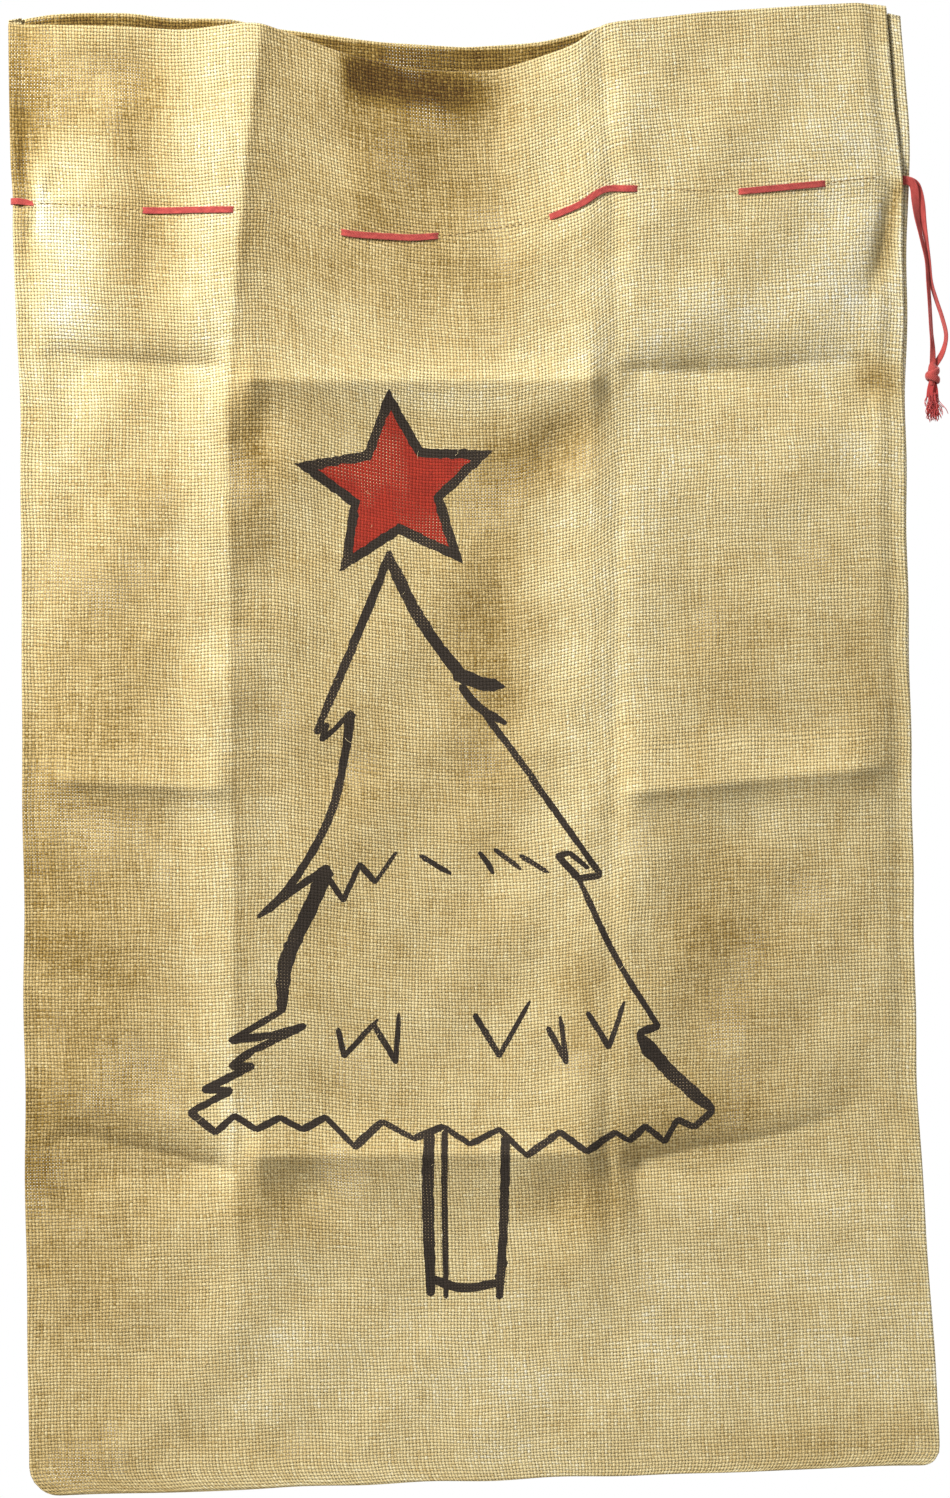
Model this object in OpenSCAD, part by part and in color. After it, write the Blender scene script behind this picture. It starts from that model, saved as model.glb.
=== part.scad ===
// Fabric gift sack: a flat jute sack that hangs by its two top corners, with a red cotton tape
// threaded through the cloth below the mouth. The tape's two ends leave by a gap in the right-hand
// side seam, and are knotted together. Millimetres, +Z up, front of the sack towards -Y, origin
// midway between the two top corners.

/* [Sack] */
// Width across the side seams
sack_w = 600; // [580:5:640]
// Height from the top corners to the bottom seam
sack_h = 985; // [950:5:1050]
// Thickness of the jute cloth
cloth_t = 1; // [0.8:0.1:1.2]
// Depth of the hem turned in at the mouth
hem_depth = 126; // [124:1:160]
// Width of the seam allowance, turned in behind the cloth all round
seam_margin = 10; // [8:1:12]
// Radius of the bottom left corner
corner_left = 20; // [12:1:24]
// Radius of the bottom right corner
corner_right = 12; // [12:1:24]

/* [Folds] */
// How far the sharp left storage crease stands forward
left_ridge = 25; // [15:1:35]
// How far the soft right storage crease stands forward
right_ridge = 16; // [10:1:25]
// How far the back panel bellies out
back_belly = 18; // [14:1:30]
// Sag of the front rim between the two creases
front_sag = 27; // [0:1:40]
// Sag of the back rim between the two creases
back_sag = 16; // [0:1:30]

/* [Drawstring] */
// Width of the cotton tape
tape_w = 6; // [5:0.5:7]
// Thickness of the cotton tape
tape_t = 1; // [0.8:0.1:1.1]
// Depth of the threaded line below the rim
tape_drop = 114; // [108:1:114]

/* [Hidden] */

front = -1;                      // side of the sack, as the sign of Y
back = 1;
seam_t = 2.5;                    // cloth and allowance of one panel, pressed flat at a seam
edge_puff = 3;                   // how far a panel stands off the seam just inside it
edge_u = 0.03;                   // where that is, as a share of the width
m = seam_margin / sack_w;        // seam allowance as a share of the width
gap_half = 6;                    // half height of the gap in the right seam that the tape leaves by
gap_y = 1.4;                     // half width of that gap
clear = 0.2;                     // air between the tape and the cloth that it lies on

stitch = 12;                     // length of one stitch
thread_r = 0.4;                  // radius of the sewing thread
seam_thread_in = 5;              // how far inside the edge the seams are sewn
hem_thread_drop = tape_drop + tape_w / 2 + 2;

// Rim height across the sack, without its sag: [share of the width, height]
front_rim = [[0, -14], [0.14, -17], [0.27, -16], [0.65, -14], [0.97, 0], [1, -3]];
back_rim = [[0, -14], [0.07, -7], [0.2, -7], [0.27, -13], [0.65, -13], [0.97, -5], [1, -3]];
sag_shape = [[0.27, 0], [0.37, 0.65], [0.46, 1], [0.54, 1], [0.6, 0.6], [0.65, 0]];

// How far each panel stands off the seam plane, across the sack
front_shape = [[m, 0], [edge_u, edge_puff], [0.27, left_ridge], [0.31, left_ridge / 2], [0.37, 6],
    [0.46, 3], [0.54, 4], [0.6, 9], [0.65, right_ridge], [0.72, 0.65 * right_ridge],
    [1 - edge_u, edge_puff], [1 - m, 0]];
back_shape = [[m, 0], [edge_u, edge_puff], [0.27, 0.7 * back_belly], [0.46, back_belly],
    [0.54, back_belly], [0.72, 0.7 * back_belly], [1 - edge_u, edge_puff], [1 - m, 0]];
// The same, down the sack: [drop below the rim, share]
fade = [[hem_depth, 1], [380, 0.85], [745, 0.7], [920, 0.35], [sack_h - seam_margin, 0]];

// Side edges: [drop below the rim, X from the nominal edge]
left_edge = [[0, -8], [120, -6], [260, 0], [760, 3], [965, 6]];
right_edge = [[0, -20], [70, -12], [120, -14], [260, -16], [490, -12], [730, -8], [965, 7]];
bottom_tilt = 20;                // the right end of the bottom seam hangs this much higher

columns = [0, m, edge_u, 0.07, 0.14, 0.2, 0.27, 0.31, 0.37, 0.46, 0.54, 0.6, 0.65, 0.72, 0.85,
    1 - edge_u, 1 - m, 1];
hem_rows = [0, 60, tape_drop - gap_half, tape_drop - gap_half + 1, tape_drop + gap_half - 1,
    tape_drop + gap_half, hem_depth];
body_rows = [180, 260, 380, 490, 620, 745, 860, 920];
foot_rows = [for (h = [20, 14, seam_margin, 5, 2, 0]) sack_h - h];
rows = concat(hem_rows, body_rows, foot_rows);

// The storage creases divide the cloth into leaves, which stand a hair apart
leaf_us = [0, 0.27, 0.46, 0.65, 1];
leaf_drops = [0, 380, 745, sack_h];
hair = 0.02;                     // half the air between two leaves

// Tape route, right to left across the front and back again: [X, 1 outside the cloth or 0 inside]
run_end = 236;                   // where both ends of the run meet the stub
run_straight = run_end - 2;      // from here on they lie side by side
run_end_y = tape_t / 2 + hair;   // the middle of each, from the plane of the seam
front_run = [[230, 0], [224, 1], [200, 1], [176, 1], [170, 0], [140, 0], [110, 0], [104, 1], [82, 1],
    [52, 1], [46, 0], [15, 0], [-21, 0], [-27, 1], [-56, 1], [-85, 1], [-91, 0], [-124, 0], [-148, 0],
    [-155, 0], [-161, 1], [-190, 1], [-216, 1], [-222, 0], [-255, 0], [-284, 0], [-290, 1]];
back_run = [[-290, 1], [-270, 1], [-264, 0], [-230, 0], [-196, 0], [-190, 1], [-160, 1], [-130, 1],
    [-124, 0], [-90, 0], [-56, 0], [-50, 1], [-20, 1], [10, 1], [16, 0], [50, 0], [84, 0], [90, 1],
    [120, 1], [150, 1], [156, 0], [190, 0], [222, 0]];

// Hanging end, from the bend over the seam: the two strands, the knot and the frayed tails
bend = [291, 0, -117];           // axis of the bend, in the middle of the stub's round end
strand_y = 0.7;                  // each strand's distance from the plane of the seam
left_route = [[291, -120.3], [290, -130], [292, -143], [295, -157], [298, -170], [299, -184],
    [300, -198], [301, -215], [302, -228], [302, -238]];
right_route = [[292, -120.3], [293, -130], [296, -143], [298, -157], [299, -170], [300, -184],
    [304, -196], [308, -208], [311, -221], [308, -231], [303, -238]];
knot_top = [302, 0, -239.2];
knot_profile = [[0, 0], [2.2, -0.8], [4, -3], [4.6, -5.6], [4, -8.4], [2.4, -10.6], [0, -11]];
tassel_profile = [[0, -11], [2.4, -11], [2.8, -19], [4.4, -25], [6.6, -35], [4, -36.5], [0, -37]];

// ---- The cloth surface ----

function side_rim(side, u) = side == front
    ? lookup(u, front_rim) - front_sag * lookup(u, sag_shape)
    : lookup(u, back_rim) - back_sag * lookup(u, sag_shape);

// How far the rounded corner cuts in at height h over the bottom seam
function corner_cut(h, r) = h >= r ? 0 : r - sqrt(r * r - (r - h) * (r - h));

function left_x(drop) = -sack_w / 2 + lookup(drop, left_edge) + corner_cut(sack_h - drop, corner_left);
function right_x(drop) = sack_w / 2 + lookup(drop, right_edge) - corner_cut(sack_h - drop, corner_right);
function x_at(u, drop) = left_x(drop) + u * (right_x(drop) - left_x(drop));
function u_at(x, drop) = (x - left_x(drop)) / (right_x(drop) - left_x(drop));

// The rows follow the rim at the mouth and the tilted seam at the bottom
function z_at(side, u, drop) =
    let (t = max(0, (drop - hem_depth) / (sack_h - hem_depth)))
    (1 - t) * side_rim(side, u) - drop + t * bottom_tilt * u;

function stand_off(side, u, drop) =
    seam_t + lookup(u, side == front ? front_shape : back_shape) * lookup(drop, fade);

function on_seam(u, drop) = u <= m || u >= 1 - m || drop >= sack_h - seam_margin;
function in_gap(u, drop) = u >= 1 - m && abs(drop - tape_drop) < gap_half;
function inner_off(side, u, drop) =
    in_gap(u, drop) ? gap_y : on_seam(u, drop) ? 0 : stand_off(side, u, drop) - cloth_t;

// Face 0 is the panel's outer face, 1 its inner face, where the hem lies, and 2 the hem's free face
function cloth_point(side, face, u, drop) =
    let (off = face == 0 ? stand_off(side, u, drop) : inner_off(side, u, drop) - (face - 1) * cloth_t)
    [x_at(u, drop), side * off, z_at(side, u, drop)];

// The values from one crease to the next, with the first and last drawn in by a gap
function between(values, from, to, gap) =
    [for (v = values) if (v >= from && v <= to) v == from ? v + gap : v == to ? v - gap : v];

// ---- Solids from points ----

// Closed sheet between two grids of points; near is the grid towards -Y
module sheet(near, far) {
    nr = len(near);
    nc = len(near[0]);
    function a(r, c) = r * nc + c;
    function b(r, c) = nr * nc + r * nc + c;
    polyhedron(
        points = concat([for (row = near) each row], [for (row = far) each row]),
        faces = concat(
            [for (r = [0:nr - 2], c = [0:nc - 2]) each [
                [a(r, c), a(r, c + 1), a(r + 1, c + 1)], [a(r, c), a(r + 1, c + 1), a(r + 1, c)],
                [b(r, c), b(r + 1, c + 1), b(r, c + 1)], [b(r, c), b(r + 1, c), b(r + 1, c + 1)]]],
            [for (c = [0:nc - 2]) each [
                [a(0, c), b(0, c), b(0, c + 1)], [a(0, c), b(0, c + 1), a(0, c + 1)],
                [a(nr - 1, c), b(nr - 1, c + 1), b(nr - 1, c)],
                [a(nr - 1, c), a(nr - 1, c + 1), b(nr - 1, c + 1)]]],
            [for (r = [0:nr - 2]) each [
                [b(r, 0), a(r, 0), a(r + 1, 0)], [b(r, 0), a(r + 1, 0), b(r + 1, 0)],
                [b(r, nc - 1), a(r + 1, nc - 1), a(r, nc - 1)],
                [b(r, nc - 1), b(r + 1, nc - 1), a(r + 1, nc - 1)]]]));
}

function unit(v) = v / norm(v);

// A section swept along a path; section is [along wide, across it], wide is the tape's flat direction
module swept(path, section, wide) {
    n = len(section);
    last = len(path) - 1;
    points = [for (i = [0:last])
        let (t = unit(path[min(i + 1, last)] - path[max(i - 1, 0)]),
            across = unit(cross(t, wide)),
            along = cross(across, t))
        for (s = section) path[i] + s[0] * along + s[1] * across];
    polyhedron(points = points, faces = concat(
        [[for (k = [0:n - 1]) k]],
        [[for (k = [n - 1:-1:0]) last * n + k]],
        [for (i = [0:last - 1], k = [0:n - 1])
            let (a = i * n + k, b = i * n + (k + 1) % n)
            each [[a, b + n, b], [a, a + n, b + n]]]));
}

tape_section = [for (q = [[1, 1], [-1, 1], [-1, -1], [1, -1]])
    each (q[0] * q[1] > 0
        ? [[q[0] * tape_w / 2, q[1] * tape_t / 4], [q[0] * (tape_w / 2 - tape_t / 4), q[1] * tape_t / 2]]
        : [[q[0] * (tape_w / 2 - tape_t / 4), q[1] * tape_t / 2], [q[0] * tape_w / 2, q[1] * tape_t / 4]])];
thread_section = [[thread_r, 0], [0, thread_r], [-thread_r, 0], [0, -thread_r]];

// ---- Cloth ----

// One layer of cloth from a face to the next face inwards
module cloth(side, face, us, drops) {
    for (i = [1:len(leaf_us) - 1], j = [1:len(leaf_drops) - 1]) {
        leaf_u = between(us, leaf_us[i - 1], leaf_us[i], hair / sack_w);
        leaf_drop = between(drops, leaf_drops[j - 1], leaf_drops[j], hair);
        outer = [for (drop = leaf_drop) [for (u = leaf_u) cloth_point(side, face, u, drop)]];
        inner = [for (drop = leaf_drop) [for (u = leaf_u) cloth_point(side, face + 1, u, drop)]];
        if (len(leaf_drop) > 0 && side == front) sheet(outer, inner);
        if (len(leaf_drop) > 0 && side == back) sheet(inner, outer);
    }
}

hem_columns = [for (u = columns) if (u >= edge_u && u <= 1 - edge_u) u];
module panel(side) cloth(side, 0, columns, rows);
module hem(side) cloth(side, 1, hem_columns, hem_rows);

module front_panel() color("burlywood") panel(front);
module back_panel() color("tan") panel(back);
module front_hem() color("wheat") hem(front);
module back_hem() color("wheat") hem(back);

// ---- Sewing thread ----

// Zigzag of thread down a side seam, through both allowances, between two drops
function side_seam_path(x_side, from, to) =
    let (n = floor((to - from) / stitch))
    [for (i = [0:n])
        let (drop = from + i * (to - from) / n,
            x = x_side < 0 ? left_x(drop) + seam_thread_in : right_x(drop) - seam_thread_in)
        [x, (i % 2 == 0 ? -1 : 1) * seam_t / 2, z_at(back, x_side < 0 ? 0 : 1, drop)]];

foot_end = sack_h - seam_margin - corner_left;

module left_seam_thread() color("peru") swept(side_seam_path(-1, stitch, foot_end), thread_section, [1, 0, 0]);

module right_seam_thread() color("peru") {
    swept(side_seam_path(1, stitch, tape_drop - gap_half - 2), thread_section, [1, 0, 0]);
    swept(side_seam_path(1, tape_drop + gap_half + 2, foot_end), thread_section, [1, 0, 0]);
}

module bottom_seam_thread() color("peru") {
    drop = sack_h - seam_thread_in;
    n = floor((1 - 2 * edge_u) * sack_w / stitch);
    path = [for (i = [0:n])
        let (u = edge_u + i * (1 - 2 * edge_u) / n)
        [x_at(u, drop), (i % 2 == 0 ? -1 : 1) * seam_t / 2, z_at(front, u, drop)]];
    swept(path, thread_section, [0, 0, 1]);
}

// Running stitches through the panel and its hem
module hem_thread(side) {
    n = floor((1 - 2 * edge_u) * sack_w / stitch);
    path = [for (i = [1:n - 1])
        let (u = edge_u + i * (1 - 2 * edge_u) / n,
            off = stand_off(side, u, hem_thread_drop),
            y = i % 2 == 0 ? off + thread_r / 2 : off - 2 * cloth_t - thread_r / 2)
        [x_at(u, hem_thread_drop), side * y, z_at(side, u, hem_thread_drop)]];
    swept(path, thread_section, [0, 0, 1]);
}

module front_hem_thread() color("peru") hem_thread(front);
module back_hem_thread() color("peru") hem_thread(back);

// ---- Drawstring ----

function run_point(side, x, outside) =
    let (u = u_at(x, tape_drop),
        off = stand_off(side, u, tape_drop),
        lift = tape_t / 2 + clear)
    [x, side * (outside == 1 ? off + lift : off - 2 * cloth_t - lift), z_at(side, u, tape_drop)];

// The tape through the front, round the left edge and through the back
module drawstring_run() color("crimson") {
    edge_x = left_x(tape_drop);
    edge_z = z_at(front, 0, tape_drop);
    path = concat(
        [for (x = [run_end - clear, run_straight]) [x, -run_end_y, bend[2]]],
        [for (p = front_run) run_point(front, p[0], p[1])],
        [[edge_x + 4, -seam_t - tape_t, edge_z], [edge_x - tape_t, 0, edge_z], [edge_x + 4, seam_t + tape_t, edge_z]],
        [for (p = back_run) run_point(back, p[0], p[1])],
        [for (x = [run_straight, run_end - clear]) [x, run_end_y, bend[2]]]);
    swept(path, tape_section, [0, 0, 1]);
}

// Both ends of the tape side by side, from inside the sack to the bend over the seam
module drawstring_stub() color("crimson") {
    translate([run_end, -tape_t, bend[2] - tape_w / 2]) cube([bend[0] - run_end, 2 * tape_t, tape_w]);
    translate([bend[0], tape_t, bend[2]]) rotate([90, 0, 0]) cylinder(d = tape_w, h = 2 * tape_t, $fn = 32);
}

module strand(route, y) swept([for (p = route) [p[0], y, p[1]]], tape_section, [1, 0, 0]);
module drawstring_left_strand() color("crimson") strand(left_route, -strand_y);
module drawstring_right_strand() color("crimson") strand(right_route, strand_y);

module turned(profile) translate(knot_top) rotate_extrude($fn = 32) polygon(profile);
module drawstring_knot() color("firebrick") turned(knot_profile);
module drawstring_tassel() color("indianred") turned(tassel_profile);

front_panel();
back_panel();
front_hem();
back_hem();
left_seam_thread();
right_seam_thread();
bottom_seam_thread();
front_hem_thread();
back_hem_thread();
drawstring_run();
drawstring_stub();
drawstring_left_strand();
drawstring_right_strand();
drawstring_knot();
drawstring_tassel();
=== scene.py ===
"""Looks of the jute gift sack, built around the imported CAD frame.

Metres, apart from the tables that say otherwise. +Z is up, the front of the sack is towards -Y, and the
origin is midway between the two top corners.
Each panel is one piece of cloth. A point of its flat pattern is (s, t): s runs from the left edge to the
right one, and t down from the rim. Cloth turned in at an edge has s or t below 0, or past the far edge.
"""

import math

import bpy
import numpy as np
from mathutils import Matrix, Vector
from mathutils.geometry import delaunay_2d_cdt


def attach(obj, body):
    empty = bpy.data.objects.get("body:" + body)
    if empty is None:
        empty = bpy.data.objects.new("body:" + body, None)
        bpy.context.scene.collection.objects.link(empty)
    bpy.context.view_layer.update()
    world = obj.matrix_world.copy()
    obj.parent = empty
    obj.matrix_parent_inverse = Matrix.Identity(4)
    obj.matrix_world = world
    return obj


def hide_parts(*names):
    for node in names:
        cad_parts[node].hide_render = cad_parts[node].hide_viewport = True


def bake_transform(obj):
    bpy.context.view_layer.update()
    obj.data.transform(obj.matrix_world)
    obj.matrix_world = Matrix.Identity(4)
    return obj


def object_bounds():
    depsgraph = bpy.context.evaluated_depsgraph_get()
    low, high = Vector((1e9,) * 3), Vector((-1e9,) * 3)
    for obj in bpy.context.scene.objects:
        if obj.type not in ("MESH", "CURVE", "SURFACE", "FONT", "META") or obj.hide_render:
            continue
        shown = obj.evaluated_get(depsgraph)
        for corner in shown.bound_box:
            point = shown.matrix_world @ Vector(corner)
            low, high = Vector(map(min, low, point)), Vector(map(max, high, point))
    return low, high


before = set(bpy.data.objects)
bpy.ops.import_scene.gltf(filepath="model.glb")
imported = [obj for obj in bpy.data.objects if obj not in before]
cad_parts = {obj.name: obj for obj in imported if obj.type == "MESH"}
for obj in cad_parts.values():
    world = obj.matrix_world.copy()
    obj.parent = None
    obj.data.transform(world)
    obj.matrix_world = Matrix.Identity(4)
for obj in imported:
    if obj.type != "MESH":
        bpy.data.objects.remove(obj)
cad_low, cad_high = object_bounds()

MM = 0.001
FRONT = -1
BACK = 1

# ---- Sizes ----
SACK_W = 0.6
SACK_H = 0.985
HEM = 0.126
ALLOWANCE = 0.010
CLOTH_T = 0.00085
SEAM_T = 0.0025                 # half the thickness of a side seam
CLEARANCE = 0.0015              # the least distance of a panel's outer face from the plane of the seams
ROLL = 0.0012                   # radius of the cloth rolled over at a seam
RIM_ROLL = 0.00105              # radius of the cloth rolled over at the rim
CORNER_LEFT = 0.020             # radius of each rounded bottom corner
CORNER_RIGHT = 0.012
BOTTOM_TILT = 0.020             # how much higher the bottom edge is at the right than at the left
GRID = 0.005                    # spacing of the pattern's grid
FINE = 0.002                    # its spacing where it is finer: columns by the left edge, along the long
                                # creases and by the tape's exit, and rows along the storage folds
FINE_COLUMNS = [[0.006, 0.030], [0.136, 0.176], [0.386, 0.412], [0.572, 0.594]]
FINE_ROWS = [[0.197, 0.243], [0.496, 0.530], [0.738, 0.778]]
YARN = 0.0022                   # pitch of the weave

TAPE_W = 0.006
TAPE_T = 0.001
GATHERED = (0.0043, 0.0015)     # width and thickness of the tape where it is threaded through the cloth
TAPE_DROP = 0.114               # how far the threaded line is below the rim
TAPE_GAP = 0.0002               # between the tape and the cloth that it lies on
BEND = np.array([0.291, 0.0, -0.117])       # hinge of the hanging strands
KNOT_HINGE_Z = -0.2392
RUN_END = 0.236                 # X at which the threaded run ends and the stub begins

# Height of the rim across the sack, as [share of the width, millimetres]
FRONT_RIM = [[0, -14], [0.14, -17], [0.198, -19.5], [0.27, -15.5], [0.29, -16], [0.384, -35],
             [0.45, -43.5], [0.504, -46], [0.56, -45], [0.6465, -29], [0.675, -15.5], [0.8, -7], [0.97, 0],
             [1, -3]]
BACK_RIM = [[0, -12.5], [0.047, -7], [0.084, -6], [0.137, -6], [0.177, -9], [0.249, -9.2], [0.283, -13.9],
            [0.328, -17.5], [0.4175, -24], [0.513, -27.5], [0.597, -24], [0.636, -19], [0.67, -12.5],
            [0.8, -8], [0.97, -5], [1, -10]]
# The two long creases, as [millimetres below the rim, share of the width]
LEFT_CREASE = [[0, 0.290], [81, 0.268], [148, 0.254], [248, 0.236], [540, 0.237], [985, 0.232]]
RIGHT_CREASE = [[0, 0.675], [83, 0.676], [285, 0.680], [540, 0.663], [985, 0.646]]
# How far each panel stands out, as [share of the width, millimetres], with the creases at these two shares
CREASES = (0.25, 0.67)
FRONT_SHAPE = [[0, 0], [0.016, 0], [0.03, 3], [0.10, 11], [0.19, 14.5], [0.235, 23], [0.25, 25.5],
               [0.262, 22.5], [0.295, 17.5], [0.36, 11], [0.46, 6], [0.54, 4.5], [0.6, 9], [0.64, 14.3],
               [0.658, 14.6], [0.668, 13.8], [0.688, 17.3], [0.71, 16.4], [0.76, 13], [0.86, 8.5],
               [0.97, 3], [0.984, 0], [1, 0]]
BACK_SHAPE = [[0, 0], [0.016, 0], [0.03, 3], [0.21, 9], [0.25, 13.5], [0.29, 12], [0.46, 17], [0.54, 17],
              [0.63, 13.5], [0.67, 14.5], [0.71, 11], [0.97, 3], [0.984, 0], [1, 0]]
# Share of that which is left further down, as [millimetres below the rim, share]
FADE = [[0, 1], [126, 1], [380, 0.85], [620, 0.78], [745, 0.7], [800, 0.55], [860, 0.3], [920, 0.12],
        [975, 0]]
# How far each side edge is from where a rectangle's would be, as [millimetres below the rim, millimetres],
# and how much further in the front panel's right edge is
LEFT_EDGE = [[0, -8], [95, -6.5], [114, -5], [135, -5.5], [260, 0], [500, 1.5], [760, 3], [965, 6]]
RIGHT_EDGE = [[0, -20], [70, -12], [120, -14], [260, -16], [490, -12], [730, -8], [965, 7]]
FRONT_INSET = [[0, 9.5], [70, 9.5], [118, 4], [150, 2.6], [225, 2.2], [260, 1.2], [450, 1.0], [520, 0.3],
               [985, 0]]
# How far the threaded line is below TAPE_DROP, as [share of the width, millimetres]
TAPE_WANDER = [[0, 3], [0.148, 6.7], [0.2, 4.7], [0.25, 8], [0.29, 8.5], [0.37, 6.3], [0.48, -4.5],
               [0.52, -8.6], [0.56, -11], [0.6025, -8], [0.66, -11], [0.685, -4.5], [0.7, -3.7],
               [0.812, 5.6], [0.912, 3.6], [1, 0]]

# Storage folds of the side thirds and the middle third, each from crease to crease:
# [first share of the width, last share, depth below the origin at each, height, reach above, reach below],
# in millimetres after the shares. A fold stands in where its height is below 0, and out where it is above.
STORAGE_FOLDS = [[-0.1, 0.245, 232, 241, -10.0, 12, 36], [0.237, 0.672, 251, 250, 12.0, 18, 30],
                 [0.672, 1.1, 243, 247, -11.0, 12, 36],
                 [-0.1, 0.245, 508, 519, 8.0, 26, 12], [0.245, 0.665, 505, 505, -2.0, 20, 30],
                 [0.665, 1.1, 522, 496, 9.5, 24, 13],
                 [-0.1, 0.245, 744, 770, -12.0, 12, 30], [0.237, 0.655, 760, 758, 12.0, 18, 32],
                 [0.655, 1.1, 767, 733, -13.0, 12, 30]]
FOLD_ROUND = 1.6                # how rounded the tip of a fold is, in millimetres
BACK_FOLDS = -0.6               # the back folds with the front: where the front stands in, it stands out
FOLD_START = 0.030              # share of the width over which a fold rises beside a long crease
# The groove that runs down from the tape's exit, as [millimetres below the rim, share of the width]
EXIT_GROOVE = [[116, 0.998], [133, 0.988], [165, 0.978], [189, 0.966], [215, 0.955]]
# Dimples and swellings of the front: [share of the width, drop, reach across, reach down, height]
HOLLOWS = [[0.266, 0.272, 0.026, 0.024, -0.0060], [0.610, 0.262, 0.038, 0.020, -0.0070],
           [0.32, 0.780, 0.045, 0.024, -0.0060], [0.60, 0.790, 0.040, 0.024, -0.0070],
           [0.965, 0.250, 0.025, 0.014, -0.0030],
           [0.16, 0.130, 0.030, 0.100, -0.0045], [0.13, 0.030, 0.060, 0.020, -0.0045],
           [0.07, 0.160, 0.040, 0.060, 0.0030], [0.16, 0.330, 0.060, 0.040, 0.0025],
           [0.80, 0.120, 0.080, 0.060, 0.0020], [0.97, 0.150, 0.030, 0.020, 0.0020]]
# The same, for how much lighter or darker the front's cloth looks there: placed one by one, partly painted
# shade and painted highlights, partly the cloth's uneven tone
LEFT_TONE_AND_PAINTED_LIGHT = [[0.012, 0.095, 0.008, 0.025, -0.20], [0.014, 0.140, 0.008, 0.020, -0.18],
              [0.034, 0.118, 0.010, 0.020, 0.24], [0.02, 0.05, 0.07, 0.06, -0.36],
              [0.13, 0.04, 0.07, 0.03, -0.16], [0.06, 0.14, 0.03, 0.12, 0.16],
              [0.15, 0.12, 0.04, 0.10, -0.18], [0.22, 0.18, 0.03, 0.20, 0.05],
              [0.15, 0.31, 0.06, 0.03, -0.10], [0.10, 0.36, 0.10, 0.12, -0.05],
              [0.15, 0.42, 0.08, 0.07, -0.08], [0.01, 0.53, 0.05, 0.07, -0.12],
              [0.06, 0.68, 0.13, 0.28, -0.25], [0.235, 0.73, 0.03, 0.03, 0.12],
              [0.01, 0.76, 0.03, 0.04, -0.12], [0.05, 0.96, 0.10, 0.03, -0.10]]
MIDDLE_TONE_AND_PAINTED_LIGHT = [[0.55, 0.15, 0.06, 0.03, -0.05], [0.48, 0.225, 0.08, 0.015, 0.14],
                [0.262, 0.270, 0.03, 0.025, -0.16], [0.265, 0.310, 0.03, 0.04, -0.14],
                [0.60, 0.258, 0.05, 0.020, -0.16], [0.64, 0.270, 0.03, 0.024, -0.14],
                [0.56, 0.278, 0.05, 0.025, -0.16], [0.53, 0.40, 0.05, 0.12, -0.18],
                [0.38, 0.49, 0.05, 0.10, -0.07], [0.28, 0.60, 0.03, 0.25, 0.04],
                [0.63, 0.66, 0.035, 0.05, -0.16], [0.63, 0.79, 0.06, 0.04, -0.22],
                [0.29, 0.79, 0.06, 0.03, -0.14], [0.30, 0.955, 0.06, 0.03, -0.08]]
RIGHT_TONE_AND_PAINTED_LIGHT = [[0.95, 0.17, 0.10, 0.12, 0.14], [0.79, 0.21, 0.06, 0.03, 0.10],
               [0.97, 0.252, 0.03, 0.014, -0.34], [0.70, 0.30, 0.04, 0.25, 0.08],
               [0.80, 0.43, 0.06, 0.04, -0.12], [0.95, 0.45, 0.04, 0.05, -0.12],
               [0.83, 0.53, 0.07, 0.03, 0.08], [0.70, 0.59, 0.04, 0.05, 0.08],
               [0.78, 0.63, 0.12, 0.12, -0.15], [0.76, 0.745, 0.08, 0.015, -0.14],
               [0.88, 0.965, 0.15, 0.02, -0.12]]

# Where the tape is outside the cloth, as [left X, right X]
FRONT_DASHES = [[-0.33, -0.2900], [-0.2190, -0.1580], [-0.0885, -0.0238], [0.0488, 0.1070],
                [0.1730, 0.2310]]
BACK_DASHES = [[-0.33, -0.2690], [-0.1930, -0.1270], [-0.0530, 0.0130], [0.0870, 0.1530]]
# The two hanging strands, as [X, Z] in millimetres
LEFT_ROUTE = [[282, -116.8], [286, -117.4], [288.8, -119.6], [290.0, -123.4], [290.6, -130], [292, -143],
              [295, -157], [298, -170], [299, -184], [300, -198], [301, -215], [302, -228], [302, -240.5]]
RIGHT_ROUTE = [[283, -117.2], [287, -117.4], [290.8, -119.8], [292.8, -124.4], [294.2, -131],
               [295.7, -143], [298.0, -157], [299.6, -170], [301, -184], [304.5, -196], [308.5, -208],
               [311, -220], [308.4, -231], [303, -240]]

STITCH = 0.0043                 # length of a stitch
STITCH_R = 0.00028              # radius of the sewing thread

# [name, place, size, watts]
LIGHTS = [["key", (-1.5, -1.35, 1.0), 0.6, 125], ["fill", (1.6, -2.2, 0.4), 1.6, 4],
          ["edge", (1.5, -0.5, 0.1), 0.6, 6], ["behind", (1.5, 1.6, 0.8), 0.8, 80]]


def lookup(table, x):
    """Straight-line lookup in a table whose values are in millimetres or shares."""
    keys, values = np.array(table, float).T
    return np.interp(x, keys, values)


def softened(table, reach=0.005, steps=1000):
    """The table as a fine curve with its corners rounded over that share of its length."""
    keys = np.array(table, float)[:, 0]
    fine = np.linspace(keys[0], keys[-1], steps + 1)
    spread = np.arange(-4, 4.01, 0.25)
    weight = np.exp(-spread ** 2 / 2)
    offsets = spread * reach * (keys[-1] - keys[0])
    values = sum(w * lookup(table, fine + o) for w, o in zip(weight, offsets)) / weight.sum()
    return np.column_stack([fine, values])


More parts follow.
